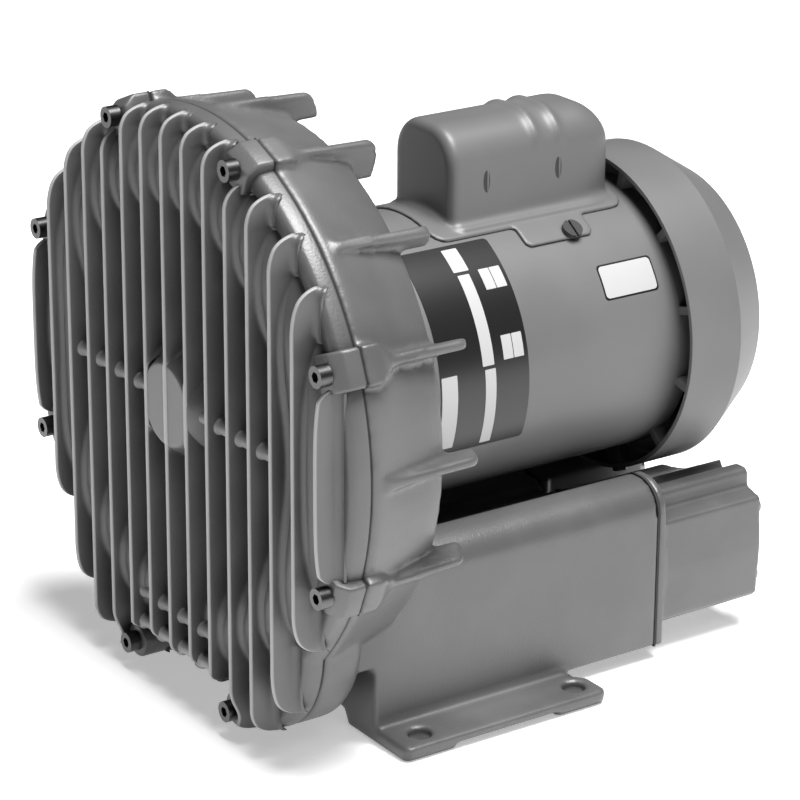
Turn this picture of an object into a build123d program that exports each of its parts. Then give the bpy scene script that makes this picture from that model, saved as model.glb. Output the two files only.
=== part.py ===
from build123d import *
import math
import os

# A single-stage side channel blower on its single-phase motor, in millimetres.
# Every shape is drawn in casing coordinates: the shaft runs along +Y, station 0 is the
# plane of the cover's fin tips, and x = 0, z = 0 is the shaft's centre line. One move at
# the end puts the part on its feet, with the origin in the middle of the foot bolts.

# Casing
casing_radius = 138.0
casing_draft = 8.0
split_station = 21.5
gasket_thickness = 0.6
casing_rear_station = 69.5
casing_wall = 4.2
casing_back_station = 57.0
floor_thickness = 5.0
rim_front_station = 12.5
rim_width = 9.5

# Channel
channel_inset = 30.0
channel_half_width = 17.0
cover_channel_depth = 12.0
stripper_angle = 40.0
running_gap = 0.6
passage_radius = 15.0

# Cover fins and nose
fin_pitch = 18.0
fin_count = 15
fin_thickness = 2.8
fin_corner_radius = 12.0
nose_station = 0.4
nose_radius = 20.0
nose_root_radius = 30.0
nose_cavity_radius = 16.5
nose_wall = 4.6
nub_height = 7.0
nub_station = 5.5
nub_side_first = 1
nub_side_count = 4
nub_bottom_count = 4
nub_upper_rise = 21.0
nub_lower_rise = 5.0

# Lobes round the two ends of the channel
lobe_x = 46.0
lobe_rise = 16.0
lobe_radius = 54.0
lobe_inner_x = 38.0
lobe_corner_radius = 8.0
lobe_rear_station = 46.0
notch_depth = 10.0

# Cover screws, M6 socket head
screw_inset = 3.4
screw_angles = (22.5, 67.5, 112.5)
lobe_screw_x = 45.5
lobe_screw_inset = 8.0
screw_radius = 3.0
screw_head_radius = 5.0
screw_head_height = 6.0
screw_socket_radius = 2.6
screw_hole_clearance = 0.3
screw_length = 30.0
lug_front_station = 8.0
lug_width = 18.0
lug_cap = 7.9
lug_shoulder = 10.0
lug_root_station = 41.0

# Ribs along the casing
rib_pitch_angle = 22.5
rib_reach = 5
rib_thickness = 5.0
rib_height = 1.0
rib_draft = 2.5
rib_front_station = 30.0
rib_rear_station = 80.5
rib_inner_radius = 72.0
rib_foot_slope = 6.0
rib_nose_radius = 5.0
rib_rear_slope = 3.0

# Muffler boxes, cast with the casing
box_outer_x = 88.0
box_inner_x = 6.0
box_edge_x = 67.0
box_floor_gap = 7.0
box_corner_radius = 16.0
box_front_station = 58.0
box_rear_station = 222.0
box_wall = 5.0
saddle_radius = 90.0
neck_front_station = 38.0
neck_inner_x = 14.0
neck_top = -64.0
neck_bottom = -114.0
neck_corner_radius = 12.0
web_thickness = 6.0

# Feet
shaft_height = 152.0
foot_outer_x = 114.0
foot_height = 7.4
foot_plate_thickness = 4.2
foot_front_station = 58.0
foot_rear_station = 174.0
foot_rear_inner_x = 97.0
foot_corner_radius = 4.0
foot_pad_length = 30.0
foot_pad_inner_x = 62.0
foot_pad_inset = 1.0
bolt_spacing_x = 203.2
bolt_spacing_y = 88.9
bolt_front_station = 73.5
bolt_hole_radius = 5.6

# Muffler extensions with the two ports
extension_gasket_thickness = 1.0
extension_flange_thickness = 4.4
extension_rear_station = 289.0
extension_outer_x = 85.0
extension_inner_x = 8.0
extension_ridge_rise = 2.0
extension_bottom_inset = 9.0
extension_wall = 4.0
extension_bulge = 1.5
extension_chamfer = 3.0
ridge_x = 54.0
flute_width = 12.0
flute_depth = 4.5
step_x = 75.0
step_height = 9.0
port_x = 46.0
port_rise = 31.0
port_hole_radius = 22.2
port_boss_radius = 25.5
port_boss_height = 3.0
port_length = 20.0
tie_screw_radius = 2.5
tie_screw_head_radius = 4.25
tie_screw_head_height = 5.0
tie_screw_grip = 15.0
tie_boss_radius = 5.5
tie_screw_inset = 9.5
tie_screw_outer_drop = 20.5
tie_screw_inner_drop = 10.0
foam_passage_radius = 20.0
foam_clearance = 0.3
foam_end_gap = 1.0

# Motor mounting on the casing
hub_face_station = 72.0
hub_outer_radius = 64.0
hub_recess_radius = 30.0
hub_recess_depth = 4.0
mount_screw_circle_radius = 50.0
mount_screw_depth = 0.8
mount_screw_length = 21.0
shaft_way_radius = 16.0
seal_outer_radius = 19.0
seal_width = 9.0
seal_gap = 0.3

# Motor frame
motor_radius = 69.5
shell_thickness = 3.0
shell_front_station = 84.0
shell_rear_station = 246.0
spigot_length = 6.0
spigot_fit = 0.1
spigot_wall = 6.0
bell_wall = 7.0
fan_bell_rear_station = 256.0
shell_wire_hole_radius = 8.0
through_bolt_circle_radius = 63.0
through_bolt_radius = 2.0
through_bolt_head_radius = 4.0
through_bolt_head_height = 3.0
through_bolt_front_station = 75.0
bolt_clearance = 0.3

# Bearings: bore radius, outer radius, width and first station
drive_bearing = (12.5, 26.0, 15.0, 76.0)
fan_bearing = (8.5, 20.0, 12.0, 237.5)
race_thickness = 3.2
ball_gap = 0.3
ball_count = 7
cage_half_width = 1.5
bearing_hub_wall = 6.0
wave_spring_width = 2.0
wave_spring_wall = 3.0

# Windings and rotor
core_front_station = 112.0
core_rear_station = 192.0
air_gap = 0.5
rotor_radius = 39.5
winding_inner_radius = 43.5
winding_outer_radius = 60.0
winding_overhang = 18.0
winding_round = 6.0
end_ring_width = 8.0
end_ring_inner_radius = 24.0
end_ring_outer_radius = 37.0

# Shaft
shaft_front_station = 9.5
shaft_thread_radius = 7.0
shaft_seat_radius = 11.0
shaft_core_radius = 15.0
shaft_rear_radius = 8.0
shaft_rear_station = 281.0
governor_seat_radius = 12.0

# Impeller
impeller_width = 28.0
impeller_hub_radius = 24.0
impeller_web_thickness = 6.0
impeller_ring_margin = 2.0
pocket_margin = 1.5
pocket_depth = 11.0
tip_wall = 1.6
blade_count = 36
blade_thickness = 2.2
web_hole_count = 6
web_hole_radius = 13.0
web_hole_circle_radius = 57.0
key_width = 6.0
key_length = 22.0
nut_radius = 12.5
nut_height = 8.0
washer_radius = 13.5
washer_thickness = 2.5

# Governor and start switch
governor_station = 205.0
governor_length = 12.0
governor_hub_radius = 18.0
governor_radius = 27.0
governor_weight_width = 16.0
governor_travel = 3.0
collar_length = 5.0
collar_radius = 24.0
collar_gap = 0.4
collar_fit = 0.05
switch_thickness = 5.0
switch_outer_radius = 55.0
switch_inner_radius = 32.0
switch_arm_width = 10.0
switch_arm_reach = 17.0
switch_post_radius = 5.0
switch_post_circle_radius = 49.0

# Cooling fan and its shroud
shroud_radius = 81.0
shroud_wall = 2.0
shroud_front_station = 245.0
shroud_shoulder_station = 275.0
shroud_rear_station = 299.4
shroud_rear_radius = 66.0
grille_ring_radii = (20.0, 33.0, 46.0)
grille_slot_width = 7.0
grille_slots_per_ring = 8
grille_slot_angle = 34.0
shroud_strut_count = 12
shroud_strut_width = 4.0
shroud_strut_stations = (247.0, 254.0)
shroud_screw_angles = (165.0, 345.0)
shroud_screw_radius = 2.0
shroud_screw_head_radius = 3.6
shroud_screw_head_height = 2.2
shroud_screw_length = 12.0
shroud_boss_width = 9.0
fan_hub_radius = 14.0
fan_hub_front_station = 259.0
fan_hub_length = 14.0
fan_plate_station = 263.0
fan_plate_thickness = 2.5
fan_radius = 60.0
fan_blade_inner_radius = 22.0
fan_blade_width = 18.0
fan_blade_count = 8
fan_blade_thickness = 2.4
fan_clip_radius = 11.0
fan_clip_width = 1.2

# Capacitor and its cover
cover_half_width = 24.5
cover_top = 112.5
cover_corner_radius = 19.0
cover_front_station = 143.0
cover_rear_station = 238.0
cover_rear_radius = 17.0
cover_sheet = 1.2
bead_stations = (193.0, 206.0)
bead_width = 9.0
bead_height = 1.6
louvre_stations = (163.0, 205.0)
louvre_level = 86.0
louvre_width = 2.6
louvre_height = 11.0
saddle_gap = 0.1
saddle_thickness = 1.4
saddle_half_width = 31.0
saddle_front_station = 130.0
saddle_rear_station = 241.0
saddle_corner_radius = 8.0
tab_half_width = 42.5
tab_stations = (174.0, 214.0)
tab_screw_angle = 33.9
tab_screw_station = 202.0
tab_screw_radius = 2.0
tab_screw_length = 6.5
tab_screw_head_radius = 5.0
tab_screw_head_height = 2.4
tab_screw_slot = 1.2
capacitor_radius = 18.2
capacitor_length = 82.0
capacitor_front_station = 149.0
capacitor_seat_gap = 0.3
terminal_size = (6.0, 4.0, 0.9)
terminal_spacing = 12.0

# Places worked out from the sizes above
housing_front_station = split_station + gasket_thickness
impeller_front_station = split_station + running_gap
impeller_rear_station = impeller_front_station + impeller_width
housing_floor_station = impeller_rear_station + running_gap
casing_rear_radius = casing_radius - casing_draft
channel_radius = casing_radius - channel_inset
channel_inner_radius = channel_radius - channel_half_width
channel_outer_radius = channel_radius + channel_half_width
bore_radius = channel_outer_radius + running_gap
rim_inner_radius = casing_radius - rim_width
notch_radius = casing_radius - notch_depth
screw_circle_radius = casing_radius - screw_inset
lug_outer_radius = screw_circle_radius + lug_cap
rib_outer_radius = casing_radius + rib_height
lobe_z = lobe_rise - channel_radius
lobe_screw_z = lobe_z - lobe_radius + lobe_screw_inset
nub_upper_level = nub_upper_rise - notch_radius
nub_lower_level = nub_lower_rise - notch_radius
passage_z = -math.sqrt(channel_radius ** 2 - lobe_x ** 2)
impeller_ring_inner_radius = channel_inner_radius - impeller_ring_margin
pocket_inner_radius = channel_inner_radius + pocket_margin
bolt_rear_station = bolt_front_station + bolt_spacing_y
origin_station = (bolt_front_station + bolt_rear_station) / 2
floor_level = -shaft_height
box_top = -math.sqrt(saddle_radius ** 2 - box_edge_x ** 2)
box_bottom = floor_level + box_floor_gap
foot_top = floor_level + foot_height
extension_top = extension_ridge_rise - math.sqrt(saddle_radius ** 2 - ridge_x ** 2)
extension_bottom = box_bottom + extension_bottom_inset
port_z = extension_bottom + port_rise
screw_hole_radius = screw_radius + screw_hole_clearance
mount_seat_station = housing_floor_station + mount_screw_depth + screw_head_height
flange_front_station = box_rear_station + extension_gasket_thickness
extension_front_station = flange_front_station + extension_flange_thickness
shell_bore_radius = motor_radius - shell_thickness
shroud_bore_radius = shroud_radius - shroud_wall
collar_front_station = governor_station + governor_length + collar_gap
switch_arm_station = collar_front_station + collar_length + governor_travel + collar_gap
tie_inner_x = extension_inner_x + extension_wall + tie_boss_radius - 1
tie_outer_x = extension_outer_x - extension_wall - tie_boss_radius
tie_screw_places = (
    (tie_inner_x, extension_bottom + tie_screw_inset),
    (tie_outer_x, extension_bottom + tie_screw_inset),
    (tie_outer_x, extension_top - tie_screw_outer_drop),
    (tie_inner_x, -saddle_radius - tie_screw_inner_drop),
)
saddle_radius_on_shell = motor_radius + saddle_gap
saddle_outer_radius = saddle_radius_on_shell + saddle_thickness
capacitor_level = motor_radius + capacitor_seat_gap + capacitor_radius
reach = 400.0


def rod(radius, start, end, x=0.0, z=0.0):
    """A cylinder along the shaft's direction between two stations."""
    bar = Cylinder(radius, end - start, align=(Align.CENTER, Align.CENTER, Align.MIN))
    return Pos(x, start, z) * Rot(-90, 0, 0) * bar


def post(radius, bottom, top):
    """A cylinder that stands on the shaft's centre line, between two heights."""
    return Pos(0, 0, bottom) * Cylinder(radius, top - bottom, align=(Align.CENTER, Align.CENTER, Align.MIN))


def tube(outer, inner, start, end, x=0.0, z=0.0):
    return rod(outer, start, end, x, z) - rod(inner, start - 1, end + 1, x, z)


def block(x_range, y_range, z_range):
    """A box between two limits on each axis."""
    size = [high - low for low, high in (x_range, y_range, z_range)]
    corner = (x_range[0], y_range[0], z_range[0])
    return Pos(*corner) * Box(*size, align=(Align.MIN, Align.MIN, Align.MIN))


def bar_at(width, y_range, radius_range, angle):
    """A flat radial bar: width across, between two stations and two radii, at an angle."""
    return at_angle(block((-width / 2, width / 2), y_range, radius_range), angle)


def turned(points):
    """A solid turned round the shaft from (radius, station) points."""
    return revolve(make_face(Polyline(*points, close=True)), Axis.Y)


def slab(front_view, start, end):
    """A prism between two stations; the front view has x to the right and z up."""
    return Pos(0, end, 0) * extrude(Plane.XZ * front_view, amount=end - start)


def at_angle(shape, angle):
    """Turn a shape drawn at twelve o'clock to an angle measured towards +X."""
    return Rot(0, angle, 0) * shape


def both_sides(shape):
    return [shape, mirror(shape, Plane.YZ)]


def polar(radius, angle):
    """The x and z of a point at an angle from twelve o'clock towards +X."""
    return radius * math.sin(math.radians(angle)), radius * math.cos(math.radians(angle))


def export(name, shapes):
    """Write one sub-part: a single shape, or a list of loose solids that share a node."""
    group = shapes if isinstance(shapes, list) else [shapes]
    solids = [solid for shape in group for solid in shape.solids()]
    placed = [Pos(0, -origin_station, shaft_height) * solid for solid in solids]
    whole = placed[0] if len(placed) == 1 else Compound(children=placed)
    export_step(whole, os.path.join("parts", name + ".step"))


def cap_screw(radius, head_radius, head_height, length):
    """A socket head screw with its seat at the origin and its point towards +Y."""
    socket_depth = head_height * 0.55
    socket = slab(RegularPolygon(head_radius * 0.52, 6), -head_height - 1, socket_depth - head_height)
    return rod(head_radius, -head_height, 0) + rod(radius, 0, length) - socket


# The casing's outline and channel, shared by cover, gasket and housing

def channel_sector(inner, crest, outer):
    """An arc section through three (radius, station) points, turned round but for the stripper."""
    section = make_face(ThreePointArc(inner, crest, outer) + Line(outer, inner))
    return Rot(0, 90.0 + stripper_angle / 2, 0) * revolve(section, Axis.Y, 360.0 - stripper_angle)


def lobe_sketch():
    """Front view of the two lobes, cut off beside the stripper."""
    beside = Pos(lobe_inner_x + lobe_radius, lobe_z) * Rectangle(2 * lobe_radius, 4 * lobe_radius)
    lobe = (Pos(lobe_x, lobe_z) * Circle(lobe_radius)) & beside
    return lobe + mirror(lobe, Plane.YZ)


def rounded_lobes(start, end, rounded_end):
    """The lobes between two stations with the front (0) or rear (-1) edge rounded."""
    lobes = slab(lobe_sketch(), start, end)
    return fillet(lobes.edges().filter_by(GeomType.CIRCLE).group_by(Axis.Y)[rounded_end], lobe_corner_radius)


def notch(start, end):
    """What is left off the rim between the lobes."""
    below = block((-lobe_inner_x, lobe_inner_x), (start, end), (-reach, 0))
    return below - rod(notch_radius, start - 1, end + 1)


def lug_angles():
    return [side * angle for angle in screw_angles for side in (1, -1)]


def lobe_screw_places():
    return [(side * lobe_screw_x, lobe_screw_z) for side in (1, -1)]


def cover_screw_places():
    """x and z of every screw that holds the cover."""
    return [polar(screw_circle_radius, angle) for angle in lug_angles()] + lobe_screw_places()


def cover_lug(angle, start, end):
    return bar_at(lug_width, (start, end), (rim_inner_radius, lug_outer_radius), angle)


# Cover

def cover_envelope():
    """Everything the cover's fins may fill: the round front corner and the two lobes."""
    corner = fin_corner_radius
    middle = corner * (1 - math.sqrt(0.5))
    edge = ThreePointArc((casing_radius - corner, 0), (casing_radius - middle, middle), (casing_radius, corner))
    sides = Polyline(
        (casing_radius, corner), (casing_radius, split_station), (0, split_station), (0, 0), (casing_radius - corner, 0)
    )
    disc = revolve(make_face(sides + edge), Axis.Y)
    return disc + rounded_lobes(0, split_station, 0) - notch(-1, split_station + 1)


def cover_nubs():
    """Short bars that tie neighbouring fins together at mid-height and near the bottom."""
    side_gaps = range(nub_side_first, nub_side_first + nub_side_count)
    rows = [(gap, 0.0) for gap in side_gaps] + [(-1 - gap, 0.0) for gap in side_gaps]
    bottom_gaps = range(-nub_bottom_count // 2, nub_bottom_count // 2)
    rows += [(gap, level) for gap in bottom_gaps for level in (nub_upper_level, nub_lower_level)]
    depth = (nub_station, split_station - floor_thickness + 1)
    return [
        block((gap * fin_pitch, (gap + 1) * fin_pitch), depth, (level - nub_height / 2, level + nub_height / 2))
        for gap, level in rows
    ]


def impeller_cover():
    envelope = cover_envelope()
    floor_front = split_station - floor_thickness
    crest = split_station - cover_channel_depth
    floor = envelope & rod(reach, floor_front, split_station)
    rim = envelope & tube(reach, rim_inner_radius, rim_front_station, split_station)
    bulge = channel_sector(
        (channel_inner_radius - casing_wall, floor_front + 1),
        (channel_radius, crest - casing_wall),
        (channel_outer_radius + casing_wall, floor_front + 1),
    )
    nose = turned([
        (0, nose_station), (nose_radius, nose_station), (nose_root_radius, floor_front + 1), (0, floor_front + 1)
    ])
    fins = []
    for number in range(fin_count):
        x = (number - (fin_count - 1) / 2) * fin_pitch
        fins.append(envelope & block(
            (x - fin_thickness / 2, x + fin_thickness / 2), (-1, split_station), (-reach, reach)
        ))
    lugs = [cover_lug(angle, lug_front_station, split_station) for angle in lug_angles()]
    lugs += [
        envelope & rod(lug_width / 2, lug_front_station, split_station, x, z) for x, z in lobe_screw_places()
    ]
    body = floor + [rim, bulge, nose] + fins + lugs + cover_nubs()
    channel = channel_sector(
        (channel_inner_radius, split_station), (channel_radius, crest), (channel_outer_radius, split_station)
    )
    cavity = rod(nose_cavity_radius, nose_station + nose_wall, split_station + 1)
    holes = [rod(screw_hole_radius, -5, reach, x, z) for x, z in cover_screw_places()]
    seats = [rod(screw_head_radius + 1, -5, lug_front_station, x, z) for x, z in cover_screw_places()]
    return body - [channel, cavity] - holes - seats


def cover_gasket():
    lugs = [cover_lug(angle, split_station, housing_front_station) for angle in lug_angles()]
    lobes = slab(lobe_sketch(), split_station, housing_front_station)
    plate = rod(casing_radius, split_station, housing_front_station) + lobes
    plate -= notch(split_station - 1, housing_front_station + 1)
    opening = rod(bore_radius, split_station - 1, housing_front_station + 1)
    holes = [rod(screw_hole_radius, 0, reach, x, z) for x, z in cover_screw_places()]
    return plate + lugs - opening - holes


def cover_screws():
    screw = cap_screw(screw_radius, screw_head_radius, screw_head_height, screw_length)
    return [Pos(x, lug_front_station, z) * screw for x, z in cover_screw_places()]


# Housing, muffler boxes and feet

def housing_lug(angle):
    """A lug as wide as the cover's that narrows and slopes down to the rib behind it."""
    shoulder = housing_front_station + lug_shoulder
    plan = Polyline(
        (-lug_width / 2, housing_front_station),
        (lug_width / 2, housing_front_station),
        (lug_width / 2, shoulder),
        (rib_thickness / 2, lug_root_station),
        (-rib_thickness / 2, lug_root_station),
        (-lug_width / 2, shoulder),
        close=True,
    )
    side = Polyline(
        (housing_front_station, 0),
        (housing_front_station, lug_outer_radius),
        (shoulder, lug_outer_radius),
        (lug_root_station, rib_outer_radius - rib_draft / 2),
        (lug_root_station, 0),
        close=True,
    )
    lug = Pos(0, 0, rim_inner_radius) * extrude(make_face(plan), amount=lug_outer_radius)
    return at_angle(lug & extrude(Plane.YZ * make_face(side), amount=lug_width, both=True), angle)


def casing_rib(angle):
    """A rib along the drum that turns in over the rear face."""
    side = Polyline(
        (rib_front_station, channel_radius),
        (rib_front_station, rib_outer_radius),
        (rib_rear_station, rib_outer_radius - rib_draft),
        (rib_rear_station + rib_rear_slope, casing_rear_radius - rib_draft),
        (rib_rear_station + rib_rear_slope, rib_inner_radius + rib_foot_slope),
        (rib_rear_station + rib_rear_slope - rib_foot_slope, rib_inner_radius),
        (casing_back_station - 1, rib_inner_radius),
        close=True,
    )
    rib = extrude(Plane.YZ * make_face(side), amount=rib_thickness / 2, both=True)
    across = rib.edges().filter_by(Axis.X)
    outer_corner = across.sort_by(lambda edge: edge.center().Y + edge.center().Z)[-1]
    return at_angle(fillet(outer_corner, rib_nose_radius), angle)


def housing_drum():
    """The rear half of the casing before it is hollowed."""
    crest = casing_rear_station
    flank = casing_rear_radius - channel_outer_radius
    drum = turned([
        (0, housing_front_station),
        (casing_radius, housing_front_station),
        (casing_radius, housing_front_station + flank),
        (casing_rear_radius, crest - 2 * flank),
        (casing_rear_radius - flank / 2, crest - flank / 2),
        (channel_outer_radius - flank, crest),
        (channel_radius - flank, crest),
        (channel_inner_radius - casing_wall, casing_back_station),
        (hub_outer_radius, casing_back_station),
        (hub_outer_radius, hub_face_station),
        (hub_recess_radius, hub_face_station),
        (hub_recess_radius, hub_face_station - hub_recess_depth),
        (0, hub_face_station - hub_recess_depth),
    ])
    lobes = rounded_lobes(housing_front_station, lobe_rear_station, -1)
    return drum + lobes - notch(housing_front_station - 1, box_front_station)


def muffler_outline():
    """Front view of the right-hand box, hollowed on top to follow the motor."""
    foot_angle = math.asin(box_inner_x / saddle_radius)
    end_angle = math.acos(-box_top / saddle_radius)
    inner_point, middle_point, outer_point = [
        (saddle_radius * math.sin(angle), -saddle_radius * math.cos(angle))
        for angle in (foot_angle, (foot_angle + end_angle) / 2, end_angle)
    ]
    corner = box_corner_radius
    shoulder = corner * (1 - math.sqrt(0.5))
    sides = Polyline(inner_point, (box_inner_x, box_bottom), (box_outer_x, box_bottom), (box_outer_x, box_top - corner))
    round_corner = ThreePointArc(
        (box_outer_x, box_top - corner), (box_outer_x - shoulder, box_top - shoulder), (box_outer_x - corner, box_top)
    )
    top = Line((box_outer_x - corner, box_top), outer_point)
    return make_face(sides + round_corner + top + ThreePointArc(outer_point, middle_point, inner_point))


def foot():
    """The right-hand foot: a plate beside the box, on two pads that reach under the box."""
    plate_bottom = foot_top - foot_plate_thickness
    plan = Polyline(
        (foot_pad_inner_x, foot_front_station),
        (foot_outer_x, foot_front_station),
        (foot_outer_x, foot_rear_station),
        (foot_rear_inner_x, foot_rear_station),
        (foot_pad_inner_x, foot_rear_station - foot_pad_length),
        close=True,
    )
    plate = Pos(0, 0, plate_bottom) * extrude(make_face(plan), amount=foot_plate_thickness)
    plate = fillet(plate.edges().filter_by(Axis.Z).group_by(Axis.X)[-1], foot_corner_radius)
    pads = []
    for start in (foot_front_station, foot_rear_station - foot_pad_length):
        pad = block(
            (foot_pad_inner_x, foot_outer_x - foot_pad_inset), (start, start + foot_pad_length), (floor_level, plate_bottom)
        )
        pads.append(fillet(pad.edges().filter_by(Axis.Z), foot_corner_radius))
    holes = []
    for station in (bolt_front_station, bolt_rear_station):
        holes.append(Pos(bolt_spacing_x / 2, station, 0) * post(bolt_hole_radius, -reach, foot_top + 1))
    return plate + pads - holes


def muffler_boxes():
    """Both boxes before they are hollowed, with their necks, feet and the web between them."""
    box = slab(muffler_outline(), box_front_station, box_rear_station)
    neck = block((neck_inner_x, box_outer_x), (neck_front_station, box_front_station), (neck_bottom, neck_top))
    flank = neck.edges().filter_by(Axis.Y).sort_by(lambda edge: edge.center().X + edge.center().Z)[-1]
    right = box + [fillet(flank, neck_corner_radius), foot()]
    web_top = -saddle_radius - web_thickness / 2
    web = block(
        (-box_inner_x, box_inner_x), (box_front_station, box_rear_station), (web_top - web_thickness, web_top)
    )
    return both_sides(right) + [web]


def box_cavity(clearance, start, end):
    """The inside of the right-hand box, smaller all round by a clearance."""
    return slab(offset(muffler_outline(), -box_wall - clearance), start, end)


def tie_bosses(start, end):
    """Screw bosses in the right-hand box, each joined to the side wall next to it."""
    bosses = []
    for x, z in tie_screw_places:
        towards_wall = sorted((x, x + math.copysign(2 * tie_boss_radius + box_wall, x - port_x)))
        bosses.append(rod(tie_boss_radius, start, end, x, z))
        bosses.append(block(towards_wall, (start, end), (z - tie_boss_radius, z + tie_boss_radius)))
    return bosses


def tie_holes(radius, start, end):
    return [rod(radius, start, end, x, z) for x, z in tie_screw_places]


def mount_screw_places():
    return [polar(mount_screw_circle_radius, angle) for angle in range(45, 360, 90)]


def blower_housing():
    ribs = [casing_rib(number * rib_pitch_angle) for number in range(-rib_reach, rib_reach + 1)]
    lugs = [housing_lug(angle) for angle in lug_angles()]
    body = housing_drum() + ribs + lugs + muffler_boxes()
    bore = rod(bore_radius, 0, housing_floor_station)
    channel = channel_sector(
        (channel_inner_radius, housing_floor_station),
        (channel_radius, casing_rear_station - casing_wall),
        (channel_outer_radius, housing_floor_station),
    )
    shaft_way = [rod(shaft_way_radius, 0, reach), rod(seal_outer_radius, casing_back_station, reach)]
    boss_front_station = box_rear_station - tie_screw_grip
    cavity = box_cavity(0, casing_rear_station + 1, box_rear_station + 1) - tie_bosses(boss_front_station, reach)
    tie_threads = tie_holes(tie_screw_radius, boss_front_station - 1, reach)
    passage = rod(passage_radius, housing_floor_station - 1, casing_rear_station + 2, lobe_x, passage_z)
    cuts = [bore, channel] + shaft_way
    for cut in [cavity, passage] + tie_threads:
        cuts += both_sides(cut)
    cuts += [rod(screw_radius, 0, lug_front_station + screw_length + 1, x, z) for x, z in cover_screw_places()]
    for x, z in mount_screw_places():
        cuts.append(rod(screw_hole_radius, 0, reach, x, z))
        cuts.append(rod(screw_head_radius + 0.5, 0, mount_seat_station, x, z))
    return body - cuts


def mount_screws():
    screw = cap_screw(screw_radius, screw_head_radius, screw_head_height, mount_screw_length)
    return [Pos(x, mount_seat_station, z) * screw for x, z in mount_screw_places()]


def shaft_seal():
    bore = drive_bearing[0] + seal_gap
    return tube(seal_outer_radius, bore, casing_back_station, casing_back_station + seal_width)


# Muffler extensions

def extension_outline():
    """Front view of the right-hand extension, with a flute and a step along its upper corner."""
    inner_angle = math.asin(extension_inner_x / saddle_radius)
    ridge_angle = math.asin(ridge_x / saddle_radius)
    inner_point, middle_point, ridge_point = [
        (saddle_radius * math.sin(angle), -saddle_radius * math.cos(angle))
        for angle in (inner_angle, (inner_angle + ridge_angle) / 2, ridge_angle)
    ]
    flute_floor = ridge_point[1] - flute_depth
    flute_end_x = ridge_x + flute_width
    ledge = extension_top - step_height
    sides = Polyline(
        ridge_point,
        (ridge_x + 2, flute_floor),
        (flute_end_x - 2, flute_floor),
        (flute_end_x, extension_top),
        (step_x - 2, extension_top),
        (step_x, extension_top - 2),
        (step_x, ledge),
        (extension_outer_x, ledge - extension_chamfer),
        (extension_outer_x + extension_bulge, (ledge + extension_bottom) / 2),
        (extension_outer_x, extension_bottom + extension_chamfer),
        (extension_outer_x - extension_chamfer, extension_bottom),
        (extension_inner_x, extension_bottom),
        inner_point,
    )
    return make_face(sides + ThreePointArc(inner_point, middle_point, ridge_point))


def muffler_extension():
    flange = slab(muffler_outline(), flange_front_station, extension_front_station)
    body = slab(extension_outline(), extension_front_station, extension_rear_station)
    port_rear_station = extension_rear_station + port_boss_height
    port_front_station = port_rear_station - port_length
    boss = rod(port_boss_radius, port_front_station, port_rear_station, port_x, port_z)
    inner_wall_station = extension_rear_station - extension_wall
    cavity = slab(offset(extension_outline(), -extension_wall), extension_front_station - 1, inner_wall_station)
    mouth = slab(
        offset(muffler_outline(), -box_wall) & offset(extension_outline(), -extension_wall),
        flange_front_station - 1, extension_front_station,
    )
    hollow = cavity + mouth - ([boss] + tie_bosses(0, reach))
    port = rod(port_hole_radius, port_front_station - 1, port_rear_station + 1, port_x, port_z)
    return flange + [body, boss] - ([hollow, port] + tie_holes(tie_screw_radius + bolt_clearance, 0, reach))


def extension_gasket():
    plate = slab(muffler_outline(), box_rear_station, flange_front_station)
    opening = box_cavity(0, box_rear_station - 1, flange_front_station + 1) - tie_bosses(0, reach)
    return plate - ([opening] + tie_holes(tie_screw_radius + bolt_clearance, 0, reach))


def tie_screws():
    length = extension_rear_station - box_rear_station + tie_screw_grip - 1
    screw = mirror(cap_screw(tie_screw_radius, tie_screw_head_radius, tie_screw_head_height, length), Plane.XZ)
    screws = []
    for x, z in tie_screw_places:
        screws += both_sides(Pos(x, extension_rear_station, z) * screw)
    return screws


def muffler_foam():
    start = casing_rear_station + 1 + foam_end_gap
    end = box_rear_station - tie_screw_grip - foam_end_gap
    return box_cavity(foam_clearance, start, end) - rod(foam_passage_radius, 0, reach, port_x, port_z)


# Motor frame

def through_bolt_places():
    return [polar(through_bolt_circle_radius, angle) for angle in range(45, 360, 90)]


def drive_end_bell():
    bore, seat, width, start = drive_bearing
    inner_face = hub_face_station + bell_wall
    spigot = shell_bore_radius - spigot_fit
    hub = seat + bearing_hub_wall
    bell = turned([
        (shaft_way_radius, hub_face_station),
        (motor_radius, hub_face_station),
        (motor_radius, shell_front_station),
        (spigot, shell_front_station),
        (spigot, shell_front_station + spigot_length),
        (spigot - spigot_wall, shell_front_station + spigot_length),
        (spigot - spigot_wall, inner_face),
        (hub, inner_face),
        (hub, start + width),
        (seat, start + width),
        (seat, start),
        (shaft_way_radius, start),
    ])
    threads = [rod(screw_radius, 0, reach, x, z) for x, z in mount_screw_places()]
    bolts = [rod(through_bolt_radius, through_bolt_front_station - 1, reach, x, z) for x, z in through_bolt_places()]
    return bell - threads - bolts


def motor_shell():
    shell = tube(motor_radius, shell_bore_radius, shell_front_station, shell_rear_station)
    wires = Pos(0, (cover_front_station + cover_rear_station) / 2, 0) * post(shell_wire_hole_radius, 0, reach)
    return shell - [wires] - [tab_screw_hole(side) for side in (1, -1)]


def strut_angles():
    return [360.0 / shroud_strut_count * (number + 0.5) for number in range(shroud_strut_count)]


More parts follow.
